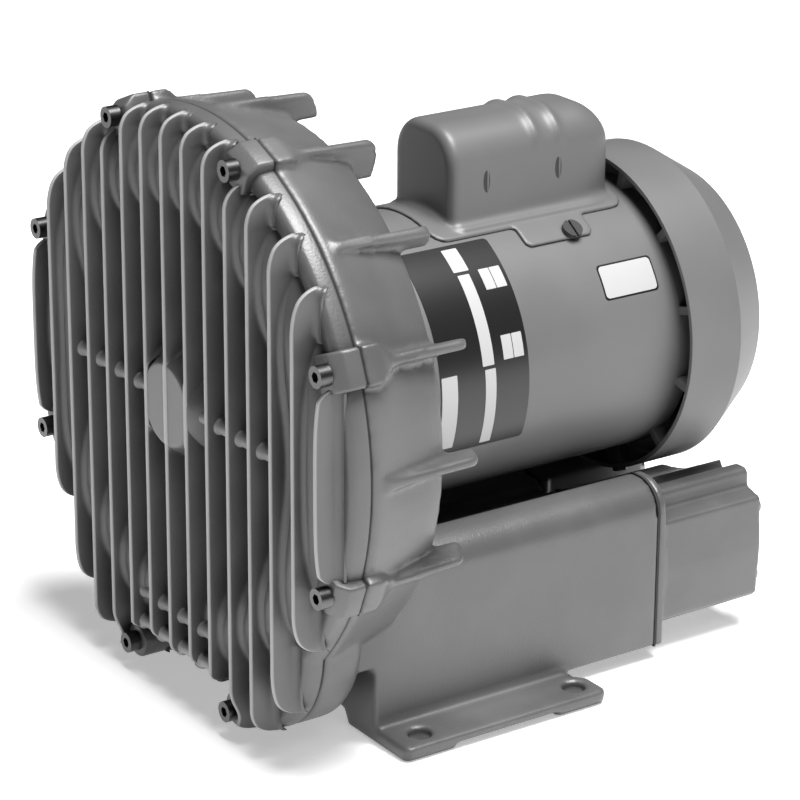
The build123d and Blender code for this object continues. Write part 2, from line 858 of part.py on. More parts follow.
def fan_end_bell():
    bore, seat, width, start = fan_bearing
    spigot = shell_bore_radius - spigot_fit
    seat_end = start + width + wave_spring_width
    inner_face = fan_bell_rear_station - bell_wall
    bell = turned([
        (bore + 1, seat_end),
        (seat, seat_end),
        (seat, start),
        (seat + bearing_hub_wall, start),
        (seat + bearing_hub_wall, inner_face),
        (spigot - spigot_wall, inner_face),
        (spigot - spigot_wall, shell_rear_station - spigot_length),
        (spigot, shell_rear_station - spigot_length),
        (spigot, shell_rear_station),
        (motor_radius, shell_rear_station),
        (motor_radius, fan_bell_rear_station - 2),
        (motor_radius - 2, fan_bell_rear_station),
        (bore + 1, fan_bell_rear_station),
    ])
    start_strut, end_strut = shroud_strut_stations
    struts = []
    for angle in strut_angles():
        width_here = shroud_boss_width if angle in shroud_screw_angles else shroud_strut_width
        outside = rod(shroud_bore_radius, start_strut - 1, end_strut + 1)
        bar = bar_at(width_here, (start_strut, end_strut), (motor_radius - 2, shroud_radius), angle)
        struts.append(bar & outside)
    post_front = switch_arm_station + switch_thickness
    posts = []
    for angle in (0, 180):
        x, z = polar(switch_post_circle_radius, angle)
        posts.append(rod(switch_post_radius, post_front, inner_face, x, z))
    bolts = [rod(through_bolt_radius + bolt_clearance, 0, reach, x, z) for x, z in through_bolt_places()]
    return bell + struts + posts - bolts - [shroud_screw_hole(angle) for angle in shroud_screw_angles]


def through_bolts():
    bolts = []
    for x, z in through_bolt_places():
        head_end = fan_bell_rear_station + through_bolt_head_height
        shank = rod(through_bolt_radius, through_bolt_front_station, fan_bell_rear_station, x, z)
        bolts.append(shank + rod(through_bolt_head_radius, fan_bell_rear_station, head_end, x, z))
    return bolts


def stator_core():
    core = tube(shell_bore_radius, rotor_radius + air_gap, core_front_station, core_rear_station)
    return core - [rod(through_bolt_radius + bolt_clearance, 0, reach, x, z) for x, z in through_bolt_places()]


def stator_windings():
    """The end turns that stand out of both ends of the core."""
    rings = []
    for start in (core_front_station - winding_overhang, core_rear_station):
        ring = tube(winding_outer_radius, winding_inner_radius, start, start + winding_overhang)
        far_end = 0 if start < core_front_station else -1
        edges = ring.edges().filter_by(GeomType.CIRCLE).group_by(Axis.Y)[far_end]
        rings.append(fillet(edges, winding_round))
    return rings


# Bearings

def outer_race(bearing):
    bore, outer, width, start = bearing
    return tube(outer, outer - race_thickness, start, start + width)


def inner_race(bearing):
    bore, outer, width, start = bearing
    return tube(bore + race_thickness, bore, start, start + width)


def ball_cage(bearing):
    """The balls and the ring that spaces them, which go round together."""
    bore, outer, width, start = bearing
    pitch_radius = (bore + outer) / 2
    ball_radius = (outer - bore) / 2 - race_thickness - ball_gap
    middle = start + width / 2
    ring = tube(
        pitch_radius + cage_half_width, pitch_radius - cage_half_width, middle - cage_half_width, middle + cage_half_width
    )
    ball = Pos(0, middle, pitch_radius) * Rot(0, 90, 0) * Sphere(ball_radius)
    return ring + [at_angle(ball, 360.0 / ball_count * number) for number in range(ball_count)]


def wave_spring():
    bore, outer, width, start = fan_bearing
    return tube(outer, outer - wave_spring_wall, start + width, start + width + wave_spring_width)


# Shaft, impeller and rotor

def key_slot():
    middle = (impeller_front_station + impeller_rear_station) / 2
    low = shaft_seat_radius - key_width / 2
    return block(
        (-key_width / 2, key_width / 2), (middle - key_length / 2, middle + key_length / 2), (low, low + key_width)
    )


def shaft():
    seat_start = impeller_front_station + 1
    drive_end = drive_bearing[3] + drive_bearing[2]
    core_end = governor_station - 1
    fan_bearing_end = fan_bearing[3] + fan_bearing[2]
    steps = [
        (shaft_thread_radius, shaft_front_station, seat_start),
        (shaft_seat_radius, seat_start, impeller_rear_station),
        (drive_bearing[0], impeller_rear_station, drive_end),
        (shaft_core_radius, drive_end, core_end),
        (governor_seat_radius, core_end, fan_bearing[3]),
        (fan_bearing[0], fan_bearing[3], fan_bearing_end),
        (shaft_rear_radius, fan_bearing_end, shaft_rear_station),
    ]
    outline = [(0, steps[0][1])]
    for radius, start, end in steps:
        outline += [(radius, start), (radius, end)]
    return turned(outline + [(0, steps[-1][2])]) - key_slot()


def impeller():
    """A disc with a hub, and a ring of pockets on both faces with straight radial blades across them."""
    middle = (impeller_front_station + impeller_rear_station) / 2
    half_web = impeller_web_thickness / 2
    hub = tube(impeller_hub_radius, shaft_seat_radius, impeller_front_station, impeller_rear_station)
    web = tube(impeller_ring_inner_radius + 1, impeller_hub_radius - 1, middle - half_web, middle + half_web)
    ring = tube(channel_outer_radius, impeller_ring_inner_radius, impeller_front_station, impeller_rear_station)
    pocket_outer_radius = channel_outer_radius - tip_wall
    width = pocket_outer_radius - pocket_inner_radius
    pockets = []
    for face, inward in ((impeller_front_station, 1), (impeller_rear_station, -1)):
        floor = face + inward * pocket_depth
        pockets.append(turned([
            (pocket_inner_radius, face - inward),
            (pocket_outer_radius, face - inward),
            (pocket_outer_radius, face + inward * pocket_depth * 0.45),
            (pocket_outer_radius - width * 0.25, floor),
            (pocket_inner_radius + width * 0.3, floor),
            (pocket_inner_radius, face + inward * pocket_depth * 0.3),
        ]))
    blades = [
        bar_at(blade_thickness, (impeller_front_station, impeller_rear_station),
               (pocket_inner_radius - 1, pocket_outer_radius + tip_wall / 4), 360.0 / blade_count * number)
        for number in range(blade_count)
    ]
    holes = []
    for number in range(web_hole_count):
        x, z = polar(web_hole_circle_radius, 360.0 / web_hole_count * (number + 0.5))
        holes.append(rod(web_hole_radius, 0, reach, x, z))
    return (ring - pockets) + ([hub, web] + blades) - holes - key_slot()


def impeller_nut():
    rear = impeller_front_station - washer_thickness
    body = slab(RegularPolygon(nut_radius, 6), rear - nut_height, rear)
    return body - rod(shaft_thread_radius, 0, reach)


def impeller_washer():
    return tube(washer_radius, shaft_thread_radius, impeller_front_station - washer_thickness, impeller_front_station)


def rotor_core():
    return tube(rotor_radius, shaft_core_radius, core_front_station, core_rear_station)


def rotor_end_rings():
    starts = (core_front_station - end_ring_width, core_rear_station)
    return [tube(end_ring_outer_radius, end_ring_inner_radius, start, start + end_ring_width) for start in starts]


# Governor, start switch and cooling fan

def governor():
    """The centrifugal governor: a hub on the shaft with two weights."""
    end = governor_station + governor_length
    hub = tube(governor_hub_radius, governor_seat_radius, governor_station, end)
    weights = [
        bar_at(governor_weight_width, (governor_station, end), (governor_hub_radius - 2, governor_radius), angle)
        for angle in (0, 180)
    ]
    return hub + weights


def governor_collar():
    bore = governor_seat_radius + collar_fit
    return tube(collar_radius, bore, collar_front_station, collar_front_station + collar_length)


def start_switch():
    plate = tube(
        switch_outer_radius, switch_inner_radius, switch_arm_station, switch_arm_station + switch_thickness
    )
    arm = bar_at(
        switch_arm_width, (switch_arm_station, switch_arm_station + switch_thickness / 2),
        (switch_arm_reach, switch_inner_radius + 2), 90,
    )
    return plate + arm


def cooling_fan():
    hub = rod(fan_hub_radius, fan_hub_front_station, fan_hub_front_station + fan_hub_length)
    plate = rod(fan_radius, fan_plate_station, fan_plate_station + fan_plate_thickness)
    blade_start = fan_plate_station + fan_plate_thickness / 2
    blades = [
        bar_at(fan_blade_thickness, (blade_start, blade_start + fan_blade_width),
               (fan_blade_inner_radius, fan_radius), 360.0 / fan_blade_count * number)
        for number in range(fan_blade_count)
    ]
    return hub + ([plate] + blades) - rod(shaft_rear_radius, 0, reach)


def fan_clip():
    start = fan_hub_front_station + fan_hub_length
    return tube(fan_clip_radius, shaft_rear_radius, start, start + fan_clip_width)


def shroud_screw_hole(angle):
    hole = post(shroud_screw_radius, shroud_radius - shroud_screw_length, reach)
    return at_angle(Pos(0, sum(shroud_strut_stations) / 2, 0) * hole, angle)


def fan_shroud():
    wall = shroud_wall
    shell = turned([
        (0, shroud_rear_station),
        (shroud_rear_radius, shroud_rear_station),
        (shroud_radius, shroud_shoulder_station),
        (shroud_radius, shroud_front_station),
        (shroud_bore_radius, shroud_front_station),
        (shroud_bore_radius, shroud_shoulder_station - wall / 2),
        (shroud_rear_radius - wall, shroud_rear_station - wall),
        (0, shroud_rear_station - wall),
    ])
    slots = []
    for radius in grille_ring_radii:
        section = block(
            (radius - grille_slot_width / 2, radius + grille_slot_width / 2),
            (shroud_rear_station - wall - 1, shroud_rear_station + 1), (0, 0.001),
        ).faces().sort_by(Axis.Z)[0]
        sector = revolve(section, Axis.Y, grille_slot_angle)
        for number in range(grille_slots_per_ring):
            slots.append(at_angle(sector, 360.0 / grille_slots_per_ring * number))
    return shell - slots - [shroud_screw_hole(angle) for angle in shroud_screw_angles]


def shroud_screws():
    screws = []
    for angle in shroud_screw_angles:
        shank = post(shroud_screw_radius, shroud_radius - shroud_screw_length, shroud_radius)
        head = post(shroud_screw_head_radius, shroud_radius, shroud_radius + shroud_screw_head_height)
        screws.append(at_angle(Pos(0, sum(shroud_strut_stations) / 2, 0) * (shank + head), angle))
    return screws


# Capacitor and its cover

def arch(growth, start, end):
    """The cover's rounded front view, grown or shrunk all round, between two stations."""
    half = cover_half_width + growth
    top = cover_top + growth
    corner = cover_corner_radius + growth
    middle = corner * (1 - math.sqrt(0.5))
    outline = (
        Polyline((-half, top - corner), (-half, 0), (half, 0), (half, top - corner))
        + ThreePointArc((half, top - corner), (half - middle, top - middle), (half - corner, top))
        + Line((half - corner, top), (corner - half, top))
        + ThreePointArc((corner - half, top), (middle - half, top - middle), (-half, top - corner))
    )
    return slab(make_face(outline), start, end)


def rounded_arch(growth, start, end, round_radius):
    body = arch(growth, start, end)
    rear = body.faces().sort_by(Axis.Y)[-1]
    edges = rear.edges().sort_by(Axis.Z)[1:]
    return fillet(edges, round_radius)


def tab_screw_hole(side):
    return at_angle(Pos(0, tab_screw_station, 0) * post(tab_screw_radius, 0, reach), side * tab_screw_angle)


def cover_saddle():
    """The curved flange that lies on the motor shell, with a screw tab on each side."""
    middle = (saddle_front_station + saddle_rear_station) / 2
    length = saddle_rear_station - saddle_front_station
    plate = Pos(0, middle) * RectangleRounded(2 * saddle_half_width, length, saddle_corner_radius)
    tab_length = tab_stations[1] - tab_stations[0]
    tabs = Pos(0, sum(tab_stations) / 2) * RectangleRounded(2 * tab_half_width, tab_length, saddle_corner_radius / 2)
    plan = extrude(plate + tabs, amount=reach)
    return plan & tube(saddle_outer_radius, saddle_radius_on_shell, saddle_front_station, saddle_rear_station)


def capacitor_cover():
    shell = rounded_arch(0, cover_front_station, cover_rear_station, cover_rear_radius)
    beads = [arch(bead_height, station - bead_width / 2, station + bead_width / 2) for station in bead_stations]
    inside = rounded_arch(
        -cover_sheet, cover_front_station + cover_sheet, cover_rear_station - cover_sheet, cover_rear_radius - cover_sheet
    )
    louvres = [
        block(
            (-reach, reach), (station - louvre_width / 2, station + louvre_width / 2),
            (louvre_level - louvre_height / 2, louvre_level + louvre_height / 2),
        )
        for station in louvre_stations
    ]
    motor = rod(saddle_radius_on_shell, 0, reach)
    below = block((-reach, reach), (0, reach), (-reach, 0))
    body = shell + beads + [cover_saddle()]
    return body - [inside, motor, below] - louvres - [tab_screw_hole(side) for side in (1, -1)]


def cover_tab_screws():
    head_top = saddle_outer_radius + tab_screw_head_height
    shank = post(tab_screw_radius, saddle_outer_radius - tab_screw_length, saddle_outer_radius)
    head = post(tab_screw_head_radius, saddle_outer_radius, head_top)
    slot = block(
        (-reach, reach), (-tab_screw_slot / 2, tab_screw_slot / 2), (head_top - tab_screw_head_height / 2, head_top + 1)
    )
    screw = Pos(0, tab_screw_station, 0) * (shank + head - slot)
    return [at_angle(screw, side * tab_screw_angle) for side in (1, -1)]


def capacitor():
    end = capacitor_front_station + capacitor_length
    can = rod(capacitor_radius, capacitor_front_station, end, 0, capacitor_level)
    width, length, thickness = terminal_size
    tabs = []
    for side in (1, -1):
        x = side * terminal_spacing / 2
        heights = (capacitor_level - width / 2, capacitor_level + width / 2)
        tabs.append(block((x - thickness / 2, x + thickness / 2), (end - 1, end + length), heights))
    return can + tabs


def main():
    os.makedirs("parts", exist_ok=True)
    sub_parts = {
        "impeller_cover": impeller_cover,
        "cover_gasket": cover_gasket,
        "cover_screws": cover_screws,
        "blower_housing": blower_housing,
        "mount_screws": mount_screws,
        "shaft_seal": shaft_seal,
        "tie_screws": tie_screws,
        "drive_end_bell": drive_end_bell,
        "motor_shell": motor_shell,
        "fan_end_bell": fan_end_bell,
        "through_bolts": through_bolts,
        "stator_core": stator_core,
        "stator_windings": stator_windings,
        "wave_spring": wave_spring,
        "start_switch": start_switch,
        "fan_shroud": fan_shroud,
        "shroud_screws": shroud_screws,
        "capacitor": capacitor,
        "capacitor_cover": capacitor_cover,
        "cover_tab_screws": cover_tab_screws,
        "shaft": shaft,
        "impeller": impeller,
        "impeller_key": key_slot,
        "impeller_nut": impeller_nut,
        "impeller_washer": impeller_washer,
        "rotor_core": rotor_core,
        "rotor_end_rings": rotor_end_rings,
        "governor": governor,
        "governor_collar": governor_collar,
        "cooling_fan": cooling_fan,
        "fan_clip": fan_clip,
    }
    for name, make in sub_parts.items():
        export(name, make())
    for name, make in (
        ("muffler_extension", muffler_extension), ("extension_gasket", extension_gasket), ("muffler_foam", muffler_foam)
    ):
        right, left = both_sides(make())
        export(name + "_right", right)
        export(name + "_left", left)
    for name, bearing in (("drive_bearing", drive_bearing), ("fan_bearing", fan_bearing)):
        export(name + "_outer_race", outer_race(bearing))
        export(name + "_inner_race", inner_race(bearing))
        export(name + "_cage", ball_cage(bearing))


main()
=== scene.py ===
import bpy
import bmesh
import math
import numpy as np
from mathutils import Matrix, Vector


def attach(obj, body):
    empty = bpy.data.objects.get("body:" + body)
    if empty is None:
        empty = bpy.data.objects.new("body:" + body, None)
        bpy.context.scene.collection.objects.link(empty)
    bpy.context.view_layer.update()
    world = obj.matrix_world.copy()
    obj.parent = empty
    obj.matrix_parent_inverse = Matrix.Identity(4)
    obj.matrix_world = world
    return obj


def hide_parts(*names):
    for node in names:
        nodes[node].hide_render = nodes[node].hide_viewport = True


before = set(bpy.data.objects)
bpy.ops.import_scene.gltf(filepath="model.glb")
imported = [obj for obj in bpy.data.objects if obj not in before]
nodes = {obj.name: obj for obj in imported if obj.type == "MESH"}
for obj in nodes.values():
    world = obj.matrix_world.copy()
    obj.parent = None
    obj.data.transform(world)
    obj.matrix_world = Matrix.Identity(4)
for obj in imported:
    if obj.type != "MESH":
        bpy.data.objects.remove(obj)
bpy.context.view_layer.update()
print("frame loaded:", len(nodes), "nodes")

# Shapes are worked out in casing millimetres: y = 0 at the fin tips, x = z = 0 on the shaft.
casing = dict(originStation=117.95, shaftHeight=152.0)
origin = np.array([0.0, casing["originStation"], -casing["shaftHeight"]])
mending = dict(weld=1e-6, sliver=1e-7)


def toFrame(points):
    # metres = (millimetres - origin) / 1000
    return (points - origin) * 0.001


def fromFrame(points):
    # millimetres = metres * 1000 + origin
    return points * 1000.0 + origin


def addMesh(name, parts, material, sharpAngle=None):
    # a still piece on the casing, from (points, quads) pairs in casing millimetres
    points, faces = joinParts(parts)
    mesh = bpy.data.meshes.new(name)
    mesh.from_pydata(toFrame(points).tolist(), [], faces.tolist())
    mesh.validate()
    mesh.update()
    turnOutward(mesh)
    mesh.polygons.foreach_set("use_smooth", np.full(len(mesh.polygons), True))
    if sharpAngle:
        mesh.set_sharp_from_angle(angle=math.radians(sharpAngle))
    obj = bpy.data.objects.new(name, mesh)
    bpy.context.scene.collection.objects.link(obj)
    obj.data.materials.append(material)
    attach(obj, "casing")
    return obj


def turnOutward(mesh):
    # welds the poles, drops empty faces and makes every closed shell face outwards
    shape = bmesh.new()
    shape.from_mesh(mesh)
    bmesh.ops.remove_doubles(shape, verts=shape.verts, dist=mending["weld"])
    bmesh.ops.dissolve_degenerate(shape, edges=shape.edges, dist=mending["sliver"])
    bmesh.ops.recalc_face_normals(shape, faces=shape.faces)
    shape.to_mesh(mesh)
    shape.free()


def gridFaces(rows, columns):
    # quads of a rows x columns grid of points stored row by row, whose last column meets the first
    i, j = np.meshgrid(np.arange(rows - 1), np.arange(columns), indexing="ij")
    nextJ = (j + 1) % columns
    quads = [i * columns + j, (i + 1) * columns + j, (i + 1) * columns + nextJ, i * columns + nextJ]
    return np.stack(quads, axis=-1).reshape(-1, 4)


def joinParts(parts):
    # puts (points, quads) pairs into one pair
    points, faces, count = [], [], 0
    for part, quads in parts:
        points.append(part.reshape(-1, 3))
        faces.append(quads + count)
        count += points[-1].shape[0]
    return np.concatenate(points), np.concatenate(faces)


def closeEnds(rows):
    # adds a pole at each end of a stack of closed outlines
    first = np.broadcast_to(rows[:1].mean(axis=1, keepdims=True), rows[:1].shape)
    last = np.broadcast_to(rows[-1:].mean(axis=1, keepdims=True), rows[:1].shape)
    rows = np.concatenate([first, rows, last])
    return rows, gridFaces(rows.shape[0], rows.shape[1])


def smoothStep(low, high, value):
    # 0 up to low, 1 from high, and 3t^2 - 2t^3 between them
    t = np.clip((value - low) / (high - low), 0.0, 1.0)
    return t * t * (3.0 - 2.0 * t)


def quarterTurn(count):
    # this many angles from 0 to 90 degrees, in radians
    return np.radians(np.linspace(0, 90, count))


def softMin(a, b, blend):
    # the lower of two heights, with blend * h * (1 - h) taken off where they cross
    h = np.clip(0.5 + 0.5 * (b - a) / blend, 0.0, 1.0)
    return b + (a - b) * h - blend * h * (1.0 - h)


def sagitta(radius, offset):
    # how far a circle has dropped at an offset from its crest: r - sqrt(r^2 - offset^2)
    return radius - np.sqrt(np.clip(radius ** 2 - offset ** 2, 0.0, None))


def grey(value):
    # the same red, green and blue
    return (value, value, value)


# the last four entries set the ambient-occlusion probe for the painted shade in recesses
finishing = dict(detail=3.0, bumpDepth=0.0004, edgeSamples=4,
                 cornerShadeSamples=6, cornerShadeReach=0.016, cornerShadeFrom=0.25, cornerShadeTo=0.85)


def newMaterial(name, color, roughness, metallic=0.0, specular=0.5):
    material = bpy.data.materials.new(name)
    material.use_nodes = True
    shader = material.node_tree.nodes["Principled BSDF"]
    shader.inputs["Base Color"].default_value = (*color, 1.0)
    shader.inputs["Roughness"].default_value = roughness
    shader.inputs["Metallic"].default_value = metallic
    shader.inputs["Specular IOR Level"].default_value = specular
    return material


def addNoise(tree, coords, scale):
    noise = tree.nodes.new("ShaderNodeTexNoise")
    noise.inputs["Scale"].default_value = scale
    noise.inputs["Detail"].default_value = finishing["detail"]
    tree.links.new(coords.outputs["Object"], noise.inputs["Vector"])
    return noise.outputs["Fac"]


def addRamp(tree, source, low, high, start=0.35, end=0.65):
    # low up to start, high from end, and a straight blend between them
    ramp = tree.nodes.new("ShaderNodeValToRGB")
    ramp.color_ramp.elements[0].position = start
    ramp.color_ramp.elements[0].color = (*low, 1.0)
    ramp.color_ramp.elements[1].position = end
    ramp.color_ramp.elements[1].color = (*high, 1.0)
    tree.links.new(source, ramp.inputs["Fac"])
    return ramp.outputs["Color"]


def addFinish(material, grain, relief, shades, drift, roughness, edge, cornerShade, highlightAndRounding=0.0):
    # fine bumps, a slow drift of shade and of gloss on object coordinates, edges rounded by a hair,
    # painted shade that darkens deep corners and recesses, and a painted highlight where the point attribute
    # is high
    tree = material.node_tree
    shader = tree.nodes["Principled BSDF"]
    coords = tree.nodes.new("ShaderNodeTexCoord")
    bump = tree.nodes.new("ShaderNodeBump")
    bump.inputs["Strength"].default_value = relief
    bump.inputs["Distance"].default_value = finishing["bumpDepth"]
    tree.links.new(addNoise(tree, coords, grain), bump.inputs["Height"])
    bevel = tree.nodes.new("ShaderNodeBevel")
    bevel.samples = finishing["edgeSamples"]
    bevel.inputs["Radius"].default_value = edge
    tree.links.new(bevel.outputs["Normal"], bump.inputs["Normal"])
    tree.links.new(bump.outputs["Normal"], shader.inputs["Normal"])
    cloud = addNoise(tree, coords, drift)
    shade = addRamp(tree, cloud, grey(shades[0]), grey(shades[1]))
    # painted shade: the colour is multiplied darker where ambient occlusion finds nearby surfaces, in gaps,
    # creases and under parts
    occlusion = tree.nodes.new("ShaderNodeAmbientOcclusion")
    occlusion.samples = finishing["cornerShadeSamples"]
    occlusion.inputs["Distance"].default_value = finishing["cornerShadeReach"]
    ends = finishing["cornerShadeFrom"], finishing["cornerShadeTo"]
    cornerShadeFactor = addRamp(tree, occlusion.outputs["AO"], grey(cornerShade), grey(1.0), *ends)
    cornerShadeMix = tree.nodes.new("ShaderNodeMixRGB")
    cornerShadeMix.blend_type = "MULTIPLY"
    cornerShadeMix.inputs["Fac"].default_value = 1.0
    tree.links.new(shade, cornerShadeMix.inputs["Color1"])
    tree.links.new(cornerShadeFactor, cornerShadeMix.inputs["Color2"])
    shade = cornerShadeMix.outputs["Color"]
    # painted highlight: the colour is mixed towards a lighter grey where the point attribute is high
    if highlightAndRounding:
        mask = tree.nodes.new("ShaderNodeAttribute")
        mask.attribute_name = "highlightAndRounding"
        mix = tree.nodes.new("ShaderNodeMixRGB")
        mix.inputs["Color2"].default_value = (*grey(highlightAndRounding), 1.0)
        tree.links.new(mask.outputs["Fac"], mix.inputs["Fac"])
        tree.links.new(shade, mix.inputs["Color1"])
        shade = mix.outputs["Color"]
    tree.links.new(shade, shader.inputs["Base Color"])
    tree.links.new(addRamp(tree, cloud, grey(roughness[0]), grey(roughness[1])), shader.inputs["Roughness"])


# in each finish the last number is the grey that the painted shade reaches in the deepest recesses; the fins'
# crests get a painted highlight towards grey 0.32
paint = dict(
    cast=dict(grain=900.0, relief=0.32, shades=(0.074, 0.100), drift=18.0, roughness=(0.34, 0.44),
              edge=0.0008, cornerShade=0.22),
    motor=dict(grain=500.0, relief=0.05, shades=(0.108, 0.130), drift=10.0, roughness=(0.40, 0.48),
               edge=0.0006, cornerShade=0.45),
    finTipHighlight=0.32)
castPaint = newMaterial("castPaint", grey(0.12), 0.4, specular=0.6)
addFinish(castPaint, **paint["cast"])
motorPaint = newMaterial("motorPaint", grey(0.12), 0.35, specular=0.45)
addFinish(motorPaint, **paint["motor"])
finPaint = newMaterial("finPaint", grey(0.12), 0.4, specular=0.6)
addFinish(finPaint, **paint["cast"], highlightAndRounding=paint["finTipHighlight"])
steel = newMaterial("steel", grey(0.22), 0.42, 1.0)
darkSteel = newMaterial("darkSteel", grey(0.10), 0.35, 1.0)
gasketPaper = newMaterial("gasketPaper", grey(0.02), 0.8)
rubber = newMaterial("rubber", grey(0.02), 0.6)
foam = newMaterial("foam", grey(0.03), 0.95)
copper = newMaterial("copper", (0.55, 0.24, 0.12), 0.35, 1.0)
coreSteel = newMaterial("coreSteel", grey(0.25), 0.5, 1.0)
bareAluminium = newMaterial("bareAluminium", grey(0.6), 0.35, 1.0)
# black plastic parts; also laid in the capacitor cover's louvre slots as painted shade for their dark
# openings
blackPlasticAndSlotShade = newMaterial("blackPlasticAndSlotShade", grey(0.012), 0.45)
switchBoard = newMaterial("switchBoard", (0.18, 0.06, 0.03), 0.5)
labelBlack = newMaterial("labelBlack", grey(0.010), 0.32)
labelWhite = newMaterial("labelWhite", grey(0.40), 0.45)
paleFloor = newMaterial("paleFloor", grey(0.9), 0.7)

nodeFinishes = {
    castPaint: ["impeller_cover", "blower_housing", "muffler_extension_right", "muffler_extension_left"],
    motorPaint: ["drive_end_bell", "motor_shell", "fan_end_bell", "fan_shroud", "capacitor_cover"],
    darkSteel: ["cover_screws", "cover_tab_screws", "shroud_screws"],
    steel: ["mount_screws", "tie_screws", "through_bolts", "shaft", "impeller_key", "impeller_nut",
            "impeller_washer", "drive_bearing_outer_race", "drive_bearing_inner_race",
            "drive_bearing_cage", "fan_bearing_outer_race", "fan_bearing_inner_race",
            "fan_bearing_cage", "wave_spring", "fan_clip", "governor"],
    gasketPaper: ["cover_gasket", "extension_gasket_right", "extension_gasket_left"],
    rubber: ["shaft_seal"],
    foam: ["muffler_foam_right", "muffler_foam_left"],
    coreSteel: ["stator_core", "rotor_core"],
    copper: ["stator_windings"],
    bareAluminium: ["impeller", "rotor_end_rings", "capacitor"],
    blackPlasticAndSlotShade: ["cooling_fan", "governor_collar"],
    switchBoard: ["start_switch"],
}
for finish, names in nodeFinishes.items():
    for name in names:
        nodes[name].data.materials.clear()
        nodes[name].data.materials.append(finish)
print("finishes set")

# The cover's outline is a circle with two lobes at the bottom and a flat step between them.
cover = dict(
    rimRadius=138.0, notchRadius=128.0, lobeX=46.0, lobeZ=-92.0, lobeRadius=54.0,
    stepFrom=15.4, stepTo=17.4,                                # degrees from six o'clock
    splitStation=21.5, floorStation=16.5, rimStation=12.5, rimFrom=126.0, rimTo=130.0,
    rimCorner=4.5, rimDraft=0.3, rimTurns=(18, 36, 54, 72), lip=1.5,
    channelRadius=108.0, humpRadius=24.5, humpCrest=5.3, humpBlend=3.0, stripperHalf=20.0,
    hollowRadius=18.04, hollowCrest=9.5, hollowInner=91.0, hollowOuter=125.0, hollowRings=17,
    noseRadius=20.0, noseRoot=30.0, noseStation=0.5, noseBlend=1.5, coneBlend=2.5,
    noseCavity=16.5, cavityStation=5.0,
    columns=420, stepColumns=(14.5, 18.5, 15),                 # finer columns at both ends of the step
    rings=((4, 18, 4), (18.8, 33, 16), (37, 84, 14), (86, 120, 26)), edgeRings=12, sharp=50)
screwCircle, lobeScrew = 134.6, (45.5, -138.0)
lugAngles = (22.5, -22.5, 67.5, -67.5, 112.5, -112.5)
screwPlaces = [(screwCircle * math.sin(math.radians(a)), screwCircle * math.cos(math.radians(a)))
               for a in lugAngles]
screwPlaces += [(side * lobeScrew[0], lobeScrew[1]) for side in (-1, 1)]


def coverEdge(angle):
    # outline radius at an angle from twelve o'clock: the circle, the far side of a lobe, or the step
    sine, cosine = np.abs(np.sin(angle)), np.cos(angle)
    along = cover["lobeX"] * sine + cover["lobeZ"] * cosine
    square = along ** 2 - (cover["lobeX"] ** 2 + cover["lobeZ"] ** 2 - cover["lobeRadius"] ** 2)
    lobe = np.where((square > 0) & (along > 0), along + np.sqrt(np.clip(square, 0, None)), 0.0)
    fromBottom = np.degrees(np.arctan2(sine, -cosine))
    inStep = 1.0 - smoothStep(cover["stepFrom"], cover["stepTo"], fromBottom)
    return np.maximum(cover["rimRadius"], lobe) * (1.0 - inStep) + cover["notchRadius"] * inStep


def channelDistance(x, z):
    # distance to the channel's middle line, an arc that stops short of the bottom on both sides
    middle, stop = cover["channelRadius"], math.radians(cover["stripperHalf"])
    endX, endZ = middle * math.sin(stop), -middle * math.cos(stop)
    onArc = np.arctan2(np.abs(x), -z) > stop
    return np.where(onArc, np.abs(np.hypot(x, z) - middle), np.hypot(np.abs(x) - endX, z - endZ))


def coverHeight(x, z):
    # station of the plate between the fins: floor and rim, the hump over the channel, the nose cone
    radius = np.hypot(x, z)
    floor = cover["floorStation"]
    plate = floor - (floor - cover["rimStation"]) * smoothStep(cover["rimFrom"], cover["rimTo"], radius)
    hump = cover["humpCrest"] + sagitta(cover["humpRadius"], channelDistance(x, z))
    slope = (floor - cover["noseStation"]) / (cover["noseRoot"] - cover["noseRadius"])
    front = -cover["noseStation"] + 0 * radius
    cone = -softMin(front, front - (radius - cover["noseRadius"]) * slope, cover["noseBlend"])
    return softMin(softMin(plate, hump, cover["humpBlend"]), cone, cover["coneBlend"])


def ringAt(radius, station, angle):
    # points at a radius from the shaft, clockwise from twelve o'clock: (r sin a, station, r cos a)
    radius, station, angle = np.broadcast_arrays(radius, station, angle)
    return np.stack([radius * np.sin(angle), station, radius * np.cos(angle)], axis=-1)


